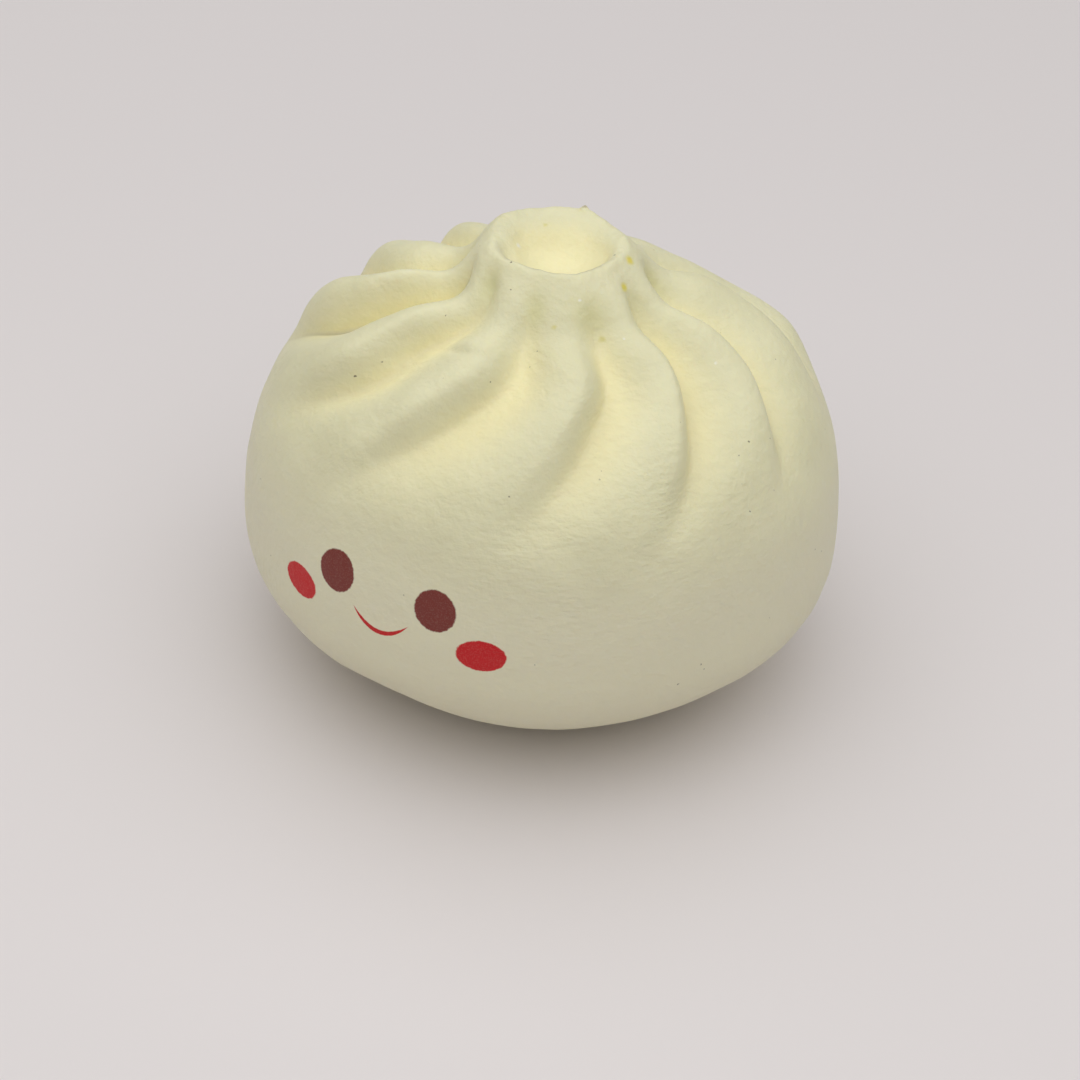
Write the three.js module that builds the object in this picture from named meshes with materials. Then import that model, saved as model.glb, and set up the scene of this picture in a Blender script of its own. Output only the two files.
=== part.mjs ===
// A small slow-rising foam bun in the form of a pleated steamed bun, moulded in one piece.
// Millimetres, +Z up, standing on its flat foot with the origin at the foot's middle.
// The printed front faces -Y. Azimuths are degrees seen from above, anticlockwise from -Y.
import * as THREE from 'three';

// Driving dimensions of the plain body, before it is pleated
const BELLY_RADIUS = 35;
const BELLY_HEIGHT = 16.8;
const UNDERSIDE_HALF_HEIGHT = 18.2;
const BELLY_ROUNDING = 14.2;
const NECK_RADIUS = 13.5;
const NECK_HEIGHT = 47.2;
const NECK_ROUNDING = 2.4;
const SHOULDER_SLOPE = 21.8;
const SHOULDER_ROUNDING = 18.8;
const TOTAL_HEIGHT = 52.3;
const COLLAR = { radius: 8.6, drop: 0.8, slope: 40, rounding: 2.2, lipRounding: 0.6 };
const LIP = { radius: 7.3, outerWidth: 0.5, innerWidth: 0.9 };
const BOWL = { radius: 4.9, edgeDrop: 1.5, slope: 34, depth: 3.3, lipRounding: 0.8, rounding: 1.3 };
const BOWL_FLOOR_ROUNDING = 2.6;

// Driving dimensions of the pleats. A reach is a way along the surface, outwards from the neck.
const VALLEY_REACH = { start: -6.5, full: 4, fading: 10, end: 26.5 };
const TIGHT_VALLEY_LEAD = 4;
const SWELL_REACH = { start: -2.5, full: 4.5, fading: 10.5, end: 25.5 };
const SOFTNESS = { loose: 0.38, tight: 0.1 };
const FALL = { loose: 1.2, tight: 0.7 };
const CREST_AT_NECK = 0.56;
const CREST_MOVES = { start: -2, end: 8 };
const SWIRL = { reach: 4.3, degreesPerMm: 1.43, softness: 1.3, end: 25.5 };
const SWAY = { reach: 4.5, spread: 5 };
const LEAN = { start: 6, end: 15 };

// Where a valley's values change over to the next one's, as shares of the way to the crest
const CHANGE_OVER = { start: 0.6, end: 1.2 };

// The twelve pleats, anticlockwise. First the valley before each pleat: its azimuth on the neck, how
// far it sways aside on the shoulder and leans lower down, its depth, and how tight a crease it is.
// Then the pleat: how far it swells above the plain body, its crest's share of the way across, and
// its hug, which is below 1 for a full tube and above 1 for a ramp.
const PLEATS = [
  { valley: -100, sway: -3, lean: 0, depth: 2.5, tight: 1, swell: 1.3, crest: 0.55, hug: 0.8 },
  { valley: -72.5, sway: 2, lean: 0, depth: 2.5, tight: 1, swell: 2.1, crest: 0.58, hug: 0.8 },
  { valley: -46, sway: -4, lean: 0, depth: 2.5, tight: 1, swell: 1.5, crest: 0.66, hug: 0.9 },
  { valley: -16, sway: -6, lean: 0, depth: 2, tight: 0.5, swell: 1.1, crest: 0.66, hug: 1.1 },
  { valley: 13.5, sway: 3, lean: 0, depth: 1.9, tight: 0.1, swell: 0.8, crest: 0.73, hug: 1.3 },
  { valley: 50, sway: 0, lean: 0.6, depth: 1.9, tight: 0.3, swell: 0.6, crest: 0.76, hug: 1.3 },
  { valley: 81, sway: 0, lean: 0.4, depth: 2.4, tight: 0.5, swell: 0.9, crest: 0.74, hug: 1.1 },
  { valley: 112, sway: -3, lean: 0, depth: 2.3, tight: 0.6, swell: 1, crest: 0.64, hug: 0.9 },
  { valley: 149, sway: 0, lean: 0, depth: 2.2, tight: 0.8, swell: -0.3, crest: 0.56, hug: 0.9 },
  { valley: 177, sway: 2, lean: 0, depth: 2.3, tight: 0.8, swell: -0.4, crest: 0.56, hug: 0.9 },
  { valley: 204.5, sway: -2, lean: 0, depth: 2.3, tight: 0.8, swell: 0.4, crest: 0.56, hug: 0.9 },
  { valley: 232, sway: 0, lean: 0, depth: 2.4, tight: 1, swell: 0.6, crest: 0.55, hug: 0.8 },
];

// Broad bulges of the skin, by azimuth and reach, and flat places if their height is below 0
const BULGES = [
  { azimuth: 143, reach: 19.5, halfAcross: 7, halfAlong: 4.5, height: 1.2 },
  { azimuth: 2, reach: 49, halfAcross: 9, halfAlong: 6, height: -0.55 },
  { azimuth: 66, reach: 48.5, halfAcross: 7, halfAlong: 5, height: -0.4 },
];

// How the rim strays from a level circle: the whole rim stands aside, the bowl in it stands aside
// the other way, the rim has soft corners, and its lip dips in three places.
const RIM_SHIFT = { length: 0.8, azimuth: -120, height: 48.4, radii: { start: 4, end: 9 } };
const BOWL_SHIFT = { length: 0.8, azimuth: 28, radii: { start: 4.8, end: 7.3 }, outwardBelow: 0.2 };
const RIM_CORNERS = { count: 5, azimuth: -100, size: 0.25, radii: { start: 0, end: 7 } };
const LIP_DIP_RADII = { start: 1, end: 6 };
const LIP_DIPS = [
  { azimuth: 153, spread: 24, depth: 0.35 },
  { azimuth: 20, spread: 45, depth: 0.25 },
  { azimuth: 88, spread: 26, depth: 0.3 },
];

// Facets
const COLUMNS_PER_PLEAT = 11;
const RINGS = { foot: 1, underside: 9, shoulder: 18, neck: 6, lipOutside: 3, lipInside: 3, bowl: 3 };
const UNDERSIDE_CROWDING = 1.6;

const { degToRad: radians, lerp, smoothstep } = THREE.MathUtils;
const place = (radius, height) => new THREE.Vector2(radius, height);

// The point a length down a slope that falls outwards, or inwards if the side is -1
const downSlope = (from, slope, length, side = 1) => place(
  from.x + side * length * Math.cos(radians(slope)),
  from.y - length * Math.sin(radians(slope)),
);

// The plain body's section from the foot's middle to the bowl's middle, in stretches
function sectionStretches() {
  const footAngle = -Math.asin(BELLY_HEIGHT / UNDERSIDE_HALF_HEIGHT);
  const footEdge = place(BELLY_RADIUS * Math.cos(footAngle), 0);
  const belly = place(BELLY_RADIUS, BELLY_HEIGHT);
  const neck = place(NECK_RADIUS, NECK_HEIGHT);
  const collar = place(COLLAR.radius, TOTAL_HEIGHT - COLLAR.drop);
  const lip = place(LIP.radius, TOTAL_HEIGHT);
  const bowlEdge = place(BOWL.radius, TOTAL_HEIGHT - BOWL.edgeDrop);
  const bowlMiddle = place(0, TOTAL_HEIGHT - BOWL.depth);
  const curve = (...points) => new THREE.CubicBezierCurve(...points);
  return [
    { curve: new THREE.LineCurve(place(0, 0), footEdge), rings: RINGS.foot },
    {
      curve: new THREE.EllipseCurve(
        0,
        BELLY_HEIGHT,
        BELLY_RADIUS,
        UNDERSIDE_HALF_HEIGHT,
        footAngle,
        0,
      ),
      rings: RINGS.underside,
      crowding: UNDERSIDE_CROWDING,
    },
    {
      curve: curve(
        belly,
        place(BELLY_RADIUS, BELLY_HEIGHT + BELLY_ROUNDING),
        downSlope(neck, SHOULDER_SLOPE, SHOULDER_ROUNDING),
        neck,
      ),
      rings: RINGS.shoulder,
      endsAtNeck: true,
    },
    {
      curve: curve(
        neck,
        downSlope(neck, SHOULDER_SLOPE, -NECK_ROUNDING),
        downSlope(collar, COLLAR.slope, COLLAR.rounding),
        collar,
      ),
      rings: RINGS.neck,
    },
    {
      curve: curve(
        collar,
        downSlope(collar, COLLAR.slope, -COLLAR.lipRounding),
        place(LIP.radius + LIP.outerWidth, TOTAL_HEIGHT),
        lip,
      ),
      rings: RINGS.lipOutside,
    },
    {
      curve: curve(
        lip,
        place(LIP.radius - LIP.innerWidth, TOTAL_HEIGHT),
        downSlope(bowlEdge, BOWL.slope, -BOWL.lipRounding, -1),
        bowlEdge,
      ),
      rings: RINGS.lipInside,
    },
    {
      curve: curve(
        bowlEdge,
        downSlope(bowlEdge, BOWL.slope, BOWL.rounding, -1),
        place(BOWL_FLOOR_ROUNDING, bowlMiddle.y),
        bowlMiddle,
      ),
      rings: RINGS.bowl,
    },
  ];
}

// Each ring's place on the section, its outward direction and its reach from the neck.
// Crowded rings lie closer together towards the end of their stretch.
function sectionRings() {
  const stretches = sectionStretches();
  const rings = [];
  let length = 0;
  let neckLength = 0;
  for (const { curve, rings: count, crowding = 1, endsAtNeck = false } of stretches) {
    for (let step = 1; step <= count; step += 1) {
      const along = 1 - (1 - step / count) ** crowding;
      const { x: radius, y: height } = curve.getPointAt(along);
      const tangent = curve.getTangentAt(along);
      rings.push({
        radius,
        height,
        outward: place(tangent.y, -tangent.x),
        length: length + along * curve.getLength(),
      });
    }
    length += curve.getLength();
    if (endsAtNeck) neckLength = length;
  }
  for (const ring of rings) ring.reach = neckLength - ring.length;
  return rings;
}

// 0 before the start, 1 from full to fading, 0 past the end, smooth between
function riseAndFade(reach, { start, full, fading, end }) {
  return smoothstep(reach, start, full) * (1 - smoothstep(reach, fading, end));
}

// How far a pleat has swung round by this reach: none on the neck, then steadily clockwise
function swirl(reach) {
  const beyond = (Math.min(reach, SWIRL.end) - SWIRL.reach) / SWIRL.softness;
  return -SWIRL.degreesPerMm * SWIRL.softness * Math.log1p(Math.exp(beyond));
}

// Height across one pleat: 0 in the rounded valley at either side, 1 on the crest.
// The crest moves over to the far side on the shoulder.
function pleatHeight({ across, tight, crest, hug }, reach) {
  const moved = smoothstep(reach, CREST_MOVES.start, CREST_MOVES.end);
  const top = lerp(CREST_AT_NECK, crest, moved);
  const rising = across < top;
  const phase = rising ? 0.5 * across / top : 0.5 + 0.5 * (across - top) / (1 - top);
  const softness = lerp(SOFTNESS.loose, SOFTNESS.tight, tight);
  const softened = Math.hypot(Math.sin(Math.PI * phase), softness) - softness;
  const full = Math.hypot(1, softness) - softness;
  const power = rising ? hug : lerp(FALL.loose, FALL.tight, tight);
  return (softened / full) ** lerp(1, power, moved);
}

// Each column's azimuth on the neck, with its pleat's values and those of the nearest valley
function columns() {
  return PLEATS.flatMap((pleat, index) => {
    const last = index === PLEATS.length - 1;
    const next = PLEATS[(index + 1) % PLEATS.length];
    const nextValley = next.valley + (last ? 360 : 0);
    return Array.from({ length: COLUMNS_PER_PLEAT }, (_, step) => {
      const across = step / COLUMNS_PER_PLEAT;
      const changedOver = smoothstep(across / pleat.crest, CHANGE_OVER.start, CHANGE_OVER.end);
      return {
        across,
        swell: pleat.swell,
        crest: pleat.crest,
        hug: pleat.hug,
        azimuth: lerp(pleat.valley, nextValley, across),
        sway: lerp(pleat.sway, next.sway, across),
        lean: lerp(pleat.lean, next.lean, across),
        depth: lerp(pleat.depth, next.depth, changedOver),
        tight: lerp(pleat.tight, next.tight, changedOver),
      };
    });
  });
}

// The level direction at an azimuth
const towards = (azimuth) => new THREE.Vector3(
  Math.sin(radians(azimuth)),
  -Math.cos(radians(azimuth)),
  0,
);

// How far an azimuth lies from a middle one, the short way round
const turned = (azimuth, middle) => (
  THREE.MathUtils.euclideanModulo(azimuth - middle + 180, 360) - 180
);

// How far the rim strays at a point of the plain collar
function rimStray(azimuth, { radius, height, outward }) {
  const onCollar = smoothstep(height, NECK_HEIGHT, TOTAL_HEIGHT);
  const aside = smoothstep(height, RIM_SHIFT.height, TOTAL_HEIGHT)
    * smoothstep(radius, RIM_SHIFT.radii.start, RIM_SHIFT.radii.end);
  const inBowl = outward.x < BOWL_SHIFT.outwardBelow
    ? onCollar * (1 - smoothstep(radius, BOWL_SHIFT.radii.start, BOWL_SHIFT.radii.end))
    : 0;
  const fromCorner = RIM_CORNERS.count * radians(turned(azimuth, RIM_CORNERS.azimuth));
  const corner = RIM_CORNERS.size * Math.cos(fromCorner) * onCollar
    * smoothstep(radius, RIM_CORNERS.radii.start, RIM_CORNERS.radii.end);
  const stray = towards(azimuth).multiplyScalar(corner)
    .addScaledVector(towards(RIM_SHIFT.azimuth), RIM_SHIFT.length * aside)
    .addScaledVector(towards(BOWL_SHIFT.azimuth), BOWL_SHIFT.length * inBowl);
  const dipped = onCollar * smoothstep(radius, LIP_DIP_RADII.start, LIP_DIP_RADII.end);
  for (const dip of LIP_DIPS) {
    const share = Math.exp(-((turned(azimuth, dip.azimuth) / dip.spread) ** 2));
    stray.z -= dip.depth * share * dipped;
  }
  return stray;
}

// How far the bulges lift the skin at a point of the plain body
function bulgeHeight(azimuth, { radius, reach }) {
  let height = 0;
  for (const bulge of BULGES) {
    const across = radians(turned(azimuth, bulge.azimuth)) * radius / bulge.halfAcross;
    const along = (reach - bulge.reach) / bulge.halfAlong;
    height += bulge.height * Math.exp(-(across ** 2) - along ** 2);
  }
  return height;
}

// Where a column crosses a ring, once the pleats are cut and swollen and the rim is shaped
function surfacePoint(column, ring) {
  const { radius, height, outward, reach } = ring;
  const up = pleatHeight(column, reach);
  const valley = { ...VALLEY_REACH, full: VALLEY_REACH.full - TIGHT_VALLEY_LEAD * column.tight };
  const cut = column.depth * (1 - up) * riseAndFade(reach, valley);
  const rise = column.swell * up * riseAndFade(reach, SWELL_REACH);
  const swayed = column.sway * Math.exp(-(((reach - SWAY.reach) / SWAY.spread) ** 2));
  const leaned = column.lean * smoothstep(reach, LEAN.start, LEAN.end);
  const azimuth = column.azimuth + swirl(reach) + swayed + leaned;
  const lift = rise - cut + bulgeHeight(azimuth, ring);
  const point = towards(azimuth).multiplyScalar(radius + lift * outward.x);
  point.z = height + lift * outward.y;
  return point.add(rimStray(azimuth, ring)).toArray();
}

// The closed skin: a fan under the foot, a band between each two rings, and a fan in the bowl
function bunGeometry() {
  const across = columns();
  const rings = sectionRings();
  const bowlMiddle = rings.pop();
  const positions = [0, 0, 0];
  for (const ring of rings) {
    for (const column of across) positions.push(...surfacePoint(column, ring));
  }
  positions.push(...surfacePoint(across[0], bowlMiddle));

  const count = across.length;
  const vertex = (ring, column) => 1 + ring * count + (column % count);
  const top = 1 + rings.length * count;
  const triangles = [];
  for (let column = 0; column < count; column += 1) {
    triangles.push(0, vertex(0, column + 1), vertex(0, column));
    for (let ring = 0; ring < rings.length - 1; ring += 1) {
      const [a, b] = [vertex(ring, column), vertex(ring, column + 1)];
      const [c, d] = [vertex(ring + 1, column), vertex(ring + 1, column + 1)];
      triangles.push(a, b, d, a, d, c);
    }
    triangles.push(vertex(rings.length - 1, column), vertex(rings.length - 1, column + 1), top);
  }

  const geometry = new THREE.BufferGeometry();
  geometry.setAttribute('position', new THREE.Float32BufferAttribute(positions, 3));
  geometry.setIndex(triangles);
  geometry.computeVertexNormals();
  return geometry;
}

const foam = new THREE.MeshStandardMaterial({ color: 0xe3dcb9, roughness: 0.85, metalness: 0 });

const bun = new THREE.Mesh(bunGeometry(), foam);
bun.name = 'bun';

const object = new THREE.Group();
object.add(bun);

export default object;
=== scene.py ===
"""A small slow-rising foam bun in the form of a pleated steamed bun, with a plain printed face.

The bun is one moulding. Its section is drawn as curves, spun round the upright axis and pressed into
twelve swirling pleats, and its skin then gets the fine relief of moulded foam. Azimuths are degrees
seen from above, anticlockwise from the front (-Y). A reach is a way along the skin, in millimetres,
outwards from the neck, where the pleats leave the collar.
"""

import logging
import math
from dataclasses import dataclass, field
from enum import Enum
from typing import Any

import bpy
import numpy as np
from mathutils import Matrix, Vector, noise


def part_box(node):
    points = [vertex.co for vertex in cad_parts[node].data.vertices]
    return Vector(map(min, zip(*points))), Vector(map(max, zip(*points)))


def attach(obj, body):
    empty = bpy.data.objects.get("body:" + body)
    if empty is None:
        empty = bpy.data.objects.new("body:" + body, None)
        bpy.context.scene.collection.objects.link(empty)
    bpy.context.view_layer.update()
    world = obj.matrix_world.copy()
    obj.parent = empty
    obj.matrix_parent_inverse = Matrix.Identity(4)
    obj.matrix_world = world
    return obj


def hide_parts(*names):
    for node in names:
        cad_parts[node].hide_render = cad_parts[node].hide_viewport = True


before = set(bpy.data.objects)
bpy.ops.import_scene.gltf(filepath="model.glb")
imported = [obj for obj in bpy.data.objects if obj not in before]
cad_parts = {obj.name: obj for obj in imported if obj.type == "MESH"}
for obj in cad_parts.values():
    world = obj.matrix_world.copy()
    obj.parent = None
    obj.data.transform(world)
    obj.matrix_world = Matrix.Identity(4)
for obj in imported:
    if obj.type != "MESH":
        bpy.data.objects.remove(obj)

log = logging.getLogger("bun")

MM = 0.001
NODE = "bun"
WELD = 0.001 * MM

Tree = bpy.types.NodeTree
Socket = bpy.types.NodeSocket
Layer = tuple[Socket, str]


def from_hex(code: str) -> tuple[float, float, float, float]:
    """Turns an sRGB hex colour into linear RGBA.

    Args:
        code: Six hex digits after a hash sign.

    Returns:
        The linear red, green and blue, and an alpha of one.
    """
    shares = [int(code[at : at + 2], 16) / 255 for at in (1, 3, 5)]
    linear = [s / 12.92 if s <= 0.04045 else ((s + 0.055) / 1.055) ** 2.4 for s in shares]
    return (*linear, 1.0)


def add_node(
    tree: Tree, kind: str, inputs: dict[str | int, Any] | None = None, **settings: Any
) -> bpy.types.Node:
    """Adds one node, sets its options, and sets or links its inputs.

    Args:
        tree: The node tree that gets the node.
        kind: The node's type name, after the start that all of them share.
        inputs: What each input holds, by name or number: an output socket to link, or a value.
        **settings: Its options.

    Returns:
        The new node.
    """
    node = tree.nodes.new(f"ShaderNode{kind}")
    for name, value in settings.items():
        setattr(node, name, value)
    for name, value in (inputs or {}).items():
        if isinstance(value, Socket):
            tree.links.new(value, node.inputs[name])
        else:
            node.inputs[name].default_value = value
    return node


def smoothstep(value: np.ndarray, start: float, end: float) -> np.ndarray:
    """Rises smoothly from 0 at the start to 1 at the end.

    Args:
        value: The numbers to look at.
        start: Where the rise starts.
        end: Where it ends.

    Returns:
        One share for each number.
    """
    share = np.clip((value - start) / (end - start), 0, 1)
    return share * share * (3 - 2 * share)


def turned(azimuth: np.ndarray, middle: float) -> np.ndarray:
    """Gives how far each azimuth lies from a middle one, the short way round, in degrees."""
    return np.mod(azimuth - middle + 180, 360) - 180


def heading(azimuth: float) -> tuple[float, float, float]:
    """Gives the level direction outwards at an azimuth."""
    angle = math.radians(azimuth)
    return (math.sin(angle), -math.cos(angle), 0)


@dataclass(frozen=True)
class Band:
    """Where an effect acts along the reach: from nothing to full, and back to nothing."""

    start: float
    full: float
    fading: float
    end: float

    def share(self, reach: np.ndarray) -> np.ndarray:
        """Gives the effect's share at each reach."""
        rise = smoothstep(reach, self.start, self.full)
        return rise * (1 - smoothstep(reach, self.fading, self.end))


@dataclass(frozen=True)
class Stretch:
    """One stretch of the section, as a cubic curve from its first to its last point."""

    points: tuple[tuple[float, float], ...]
    rings: int


@dataclass(frozen=True)
class Section:
    """The plain body's section, from the foot's middle over the belly to the bowl's middle."""

    belly_radius: float
    total_height: float
    belly_height: float = 16.8
    underside_half_height: float = 18.2
    belly_rounding: float = 14.2
    neck_radius: float = 13.5
    neck_height: float = 47.2
    shoulder_slope: float = 21.8
    shoulder_rounding: float = 18.8
    neck_rounding: float = 2.4
    collar_radius: float = 8.6
    collar_drop: float = 0.8
    collar_slope: float = 40
    collar_rounding: float = 2.2
    lip_rounding: float = 0.6
    lip_radius: float = 7.3
    lip_outer_width: float = 0.5
    lip_inner_width: float = 0.9
    bowl_radius: float = 4.9
    bowl_edge_drop: float = 1.5
    bowl_slope: float = 34
    bowl_depth: float = 3.3
    bowl_edge_rounding: float = 0.8
    bowl_rounding: float = 1.3
    bowl_flat: float = 2.6

    def down_slope(self, length: float) -> tuple[float, float]:
        """Gives the point a length down the shoulder's slope from the neck."""
        slope = math.radians(self.shoulder_slope)
        return (
            self.neck_radius + length * math.cos(slope),
            self.neck_height - length * math.sin(slope),
        )

    def down_collar(self, length: float) -> tuple[float, float]:
        """Gives the point a length down the collar's outer wall from its upper edge."""
        slope = math.radians(self.collar_slope)
        return (
            self.collar_radius + length * math.cos(slope),
            self.total_height - self.collar_drop - length * math.sin(slope),
        )

    def down_bowl(self, length: float) -> tuple[float, float]:
        """Gives the point a length down the bowl's wall from its edge."""
        slope = math.radians(self.bowl_slope)
        return (
            self.bowl_radius - length * math.cos(slope),
            self.total_height - self.bowl_edge_drop - length * math.sin(slope),
        )

    def underside(self) -> tuple[tuple[float, float], ...]:
        """Gives the cubic curve that follows the underside's ellipse from the foot to the belly."""
        start = -math.asin(self.belly_height / self.underside_half_height)
        handle = 4 / 3 * math.tan(-start / 4)

        def on_ellipse(across: float, up: float) -> tuple[float, float]:
            """Scales a point of the unit circle to the ellipse."""
            height = self.belly_height + up * self.underside_half_height
            return (across * self.belly_radius, height)

        cosine, sine = math.cos(start), math.sin(start)
        return (
            on_ellipse(cosine, sine),
            on_ellipse(cosine - handle * sine, sine + handle * cosine),
            on_ellipse(1, -handle),
            on_ellipse(1, 0),
        )

    def stretches(self) -> list[Stretch]:
        """Lists the stretches in order from the foot's middle to the bowl's middle."""
        top = self.total_height
        under = self.underside()
        foot = under[0]
        belly = (self.belly_radius, self.belly_height)
        rounding = (self.belly_radius, self.belly_height + self.belly_rounding)
        neck = self.down_slope(0)
        above_neck = self.down_slope(-self.neck_rounding)
        collar = self.down_collar(0)
        lip = (self.lip_radius, top)
        lip_outside = (self.lip_radius + self.lip_outer_width, top)
        lip_inside = (self.lip_radius - self.lip_inner_width, top)
        bowl_edge = self.down_bowl(0)
        bowl_middle = (0.0, top - self.bowl_depth)
        bowl_flat = (self.bowl_flat, bowl_middle[1])
        return [
            Stretch(((0, 0), (foot[0] / 3, 0), (foot[0] * 2 / 3, 0), foot), 8),
            Stretch(under, 34),
            Stretch((belly, rounding, self.down_slope(self.shoulder_rounding), neck), 104),
            Stretch((neck, above_neck, self.down_collar(self.collar_rounding), collar), 22),
            Stretch((collar, self.down_collar(-self.lip_rounding), lip_outside, lip), 9),
            Stretch((lip, lip_inside, self.down_bowl(-self.bowl_edge_rounding), bowl_edge), 10),
            Stretch((bowl_edge, self.down_bowl(self.bowl_rounding), bowl_flat, bowl_middle), 16),
        ]


@dataclass(frozen=True)
class Pleat:
    """One pleat and the valley before it.

    The sway is how far the valley strays on the shoulder, the lean how far lower down, both in
    degrees. A tight valley, near 1, is a crisp crease, and a loose one, near 0, is a soft hollow.
    The crest is the pleat's highest share of the way across on the shoulder. The hug is how closely
    the pleat keeps to the valley's floor before it rises: below 1 it is a full tube, above 1 a ramp.
    """

    valley: float
    sway: float
    lean: float
    depth: float
    tight: float
    swell: float
    crest: float
    hug: float


PLEATS = (
    Pleat(-100, -3, 0, 2.5, 1.0, 1.3, 0.55, 0.8),
    Pleat(-72.5, 2, 0, 2.5, 1.0, 2.1, 0.58, 0.8),
    Pleat(-46, -4, 0, 2.5, 1.0, 1.5, 0.66, 0.9),
    Pleat(-16, -6, 0, 2.0, 0.5, 1.1, 0.66, 1.1),
    Pleat(13.5, 3, 0, 1.9, 0.1, 0.8, 0.73, 1.3),
    Pleat(50, 0, 0.6, 1.9, 0.3, 0.6, 0.76, 1.3),
    Pleat(81, 0, 0.4, 2.4, 0.5, 0.9, 0.74, 1.1),
    Pleat(112, -3, 0, 2.3, 0.6, 1.0, 0.64, 0.9),
    Pleat(149, 0, 0, 2.2, 0.8, -0.3, 0.56, 0.9),
    Pleat(177, 2, 0, 2.3, 0.8, -0.4, 0.56, 0.9),
    Pleat(204.5, -2, 0, 2.3, 0.8, 0.4, 0.56, 0.9),
    Pleat(232, 0, 0, 2.4, 1.0, 0.6, 0.55, 0.8),
)


@dataclass
class Skin:
    """The bun's skin while it is worked on: one value of each kind for every point of the mesh."""

    radius: np.ndarray
    height: np.ndarray
    reach: np.ndarray
    out_across: np.ndarray
    out_up: np.ndarray
    azimuth: np.ndarray
    across: np.ndarray
    pleat: np.ndarray
    places: np.ndarray = field(init=False)
    hollow: np.ndarray = field(init=False)
    olive: np.ndarray = field(init=False)
    crease: np.ndarray = field(init=False)

    def directions(self) -> tuple[np.ndarray, np.ndarray, np.ndarray]:
        """Gives each point's level directions outwards and anticlockwise, and its outward normal."""
        angle = np.radians(self.azimuth)
        zero = np.zeros_like(angle)
        outwards = np.stack([np.sin(angle), -np.cos(angle), zero], axis=1)
        onwards = np.stack([np.cos(angle), np.sin(angle), zero], axis=1)
        normal = outwards * self.out_across[:, None]
        normal[:, 2] = self.out_up
        return outwards, onwards, normal

    def place_at(self, azimuth: float, reach: float) -> tuple[float, float, float]:
        """Gives the place of the point nearest to an azimuth and a reach, in millimetres."""
        across = np.radians(turned(self.azimuth, azimuth)) * self.radius
        nearest = np.argmin(np.hypot(across, self.reach - reach))
        return tuple(self.places[nearest])


@dataclass(frozen=True)
class Pleating:
    """How the plain body is pressed into pleats."""

    pleats: tuple[Pleat, ...] = PLEATS
    valley_band: Band = Band(-6.5, 4.0, 10.0, 26.5)
    valley_lead: float = 4.0
    swell_band: Band = Band(-2.5, 4.5, 10.5, 25.5)
    loose_softness: float = 0.38
    tight_softness: float = 0.06
    loose_fall: float = 1.2
    tight_fall: float = 0.7
    change_over: tuple[float, float] = (0.6, 1.2)
    hollow_fading: float = 0.7
    hollow_one_side: float = 2.5
    # How dark the crease floors are painted: shade in the fold, with some dirt
    crease_shade_and_dirt: float = 0.45
    crease_rise: float = 0.07
    crest_at_neck: float = 0.56
    crest_moves: tuple[float, float] = (-2.0, 8.0)
    swirl_reach: float = 4.3
    swirl_per_mm: float = 1.43
    swirl_softness: float = 1.3
    swirl_end: float = 25.5
    sway_reach: float = 4.5
    sway_spread: float = 5.0
    lean_reaches: tuple[float, float] = (6.0, 15.0)

    def of_pleat(self, skin: Skin, name: str, ahead: int = 0) -> np.ndarray:
        """Gives one of the values of each point's own pleat, or of a pleat ahead of it."""
        values = np.array([getattr(p, name) for p in self.pleats])
        return values[(skin.pleat + ahead) % len(self.pleats)]

    def by_valley(self, skin: Skin, name: str) -> np.ndarray:
        """Gives one of the nearest valley's values, changing over near the crest.

        Args:
            skin: The skin, with each point's pleat and its share of the way across it.
            name: The name of the value.

        Returns:
            The value at each point.
        """
        value = self.of_pleat(skin, name)
        share = smoothstep(skin.across / self.of_pleat(skin, "crest"), *self.change_over)
        return value + share * (self.of_pleat(skin, name, 1) - value)

    def height(self, skin: Skin, tight: np.ndarray) -> np.ndarray:
        """Gives the height across the pleats, 0 in the rounded valleys and 1 on the crests.

        On the neck the crest lies near the pleat's middle. On the shoulder it moves over to the far
        side, so that the pleat rises gently from its own valley and drops steeply to the next.

        Args:
            skin: The skin, with each point's pleat and its share of the way across it.
            tight: How tight the nearest valley is at each point.

        Returns:
            The height of each point.
        """
        moved = smoothstep(skin.reach, *self.crest_moves)
        crest = self.of_pleat(skin, "crest")
        crest = self.crest_at_neck + moved * (crest - self.crest_at_neck)
        rising = skin.across < crest
        near = 0.5 * skin.across / crest
        far = 0.5 + 0.5 * (skin.across - crest) / (1 - crest)
        phase = np.where(rising, near, far)
        soft = self.loose_softness + tight * (self.tight_softness - self.loose_softness)
        lifted = (np.hypot(np.sin(np.pi * phase), soft) - soft) / (np.hypot(1, soft) - soft)
        fall = self.loose_fall + tight * (self.tight_fall - self.loose_fall)
        power = 1 + moved * (np.where(rising, self.of_pleat(skin, "hug"), fall) - 1)
        return lifted**power

    def valley_share(self, skin: Skin, tight: np.ndarray) -> np.ndarray:
        """Gives how far the valleys are pressed at each reach: tight ones start nearer the collar."""
        band = self.valley_band
        rise = smoothstep(skin.reach, band.start, band.full - self.valley_lead * tight)
        return rise * (1 - smoothstep(skin.reach, band.fading, band.end))

    def stray(self, skin: Skin) -> np.ndarray:
        """Gives how many degrees each point strays from the plain swirl."""
        columns = []
        for name in ("sway", "lean"):
            value = self.of_pleat(skin, name)
            columns.append(value + skin.across * (self.of_pleat(skin, name, 1) - value))
        swayed = np.exp(-(((skin.reach - self.sway_reach) / self.sway_spread) ** 2))
        return columns[0] * swayed + columns[1] * smoothstep(skin.reach, *self.lean_reaches)

    def swirl(self, reach: np.ndarray) -> np.ndarray:
        """Gives how many degrees a pleat has swung round at each reach."""
        beyond = (np.minimum(reach, self.swirl_end) - self.swirl_reach) / self.swirl_softness
        return -self.swirl_per_mm * self.swirl_softness * np.log1p(np.exp(beyond))


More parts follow.
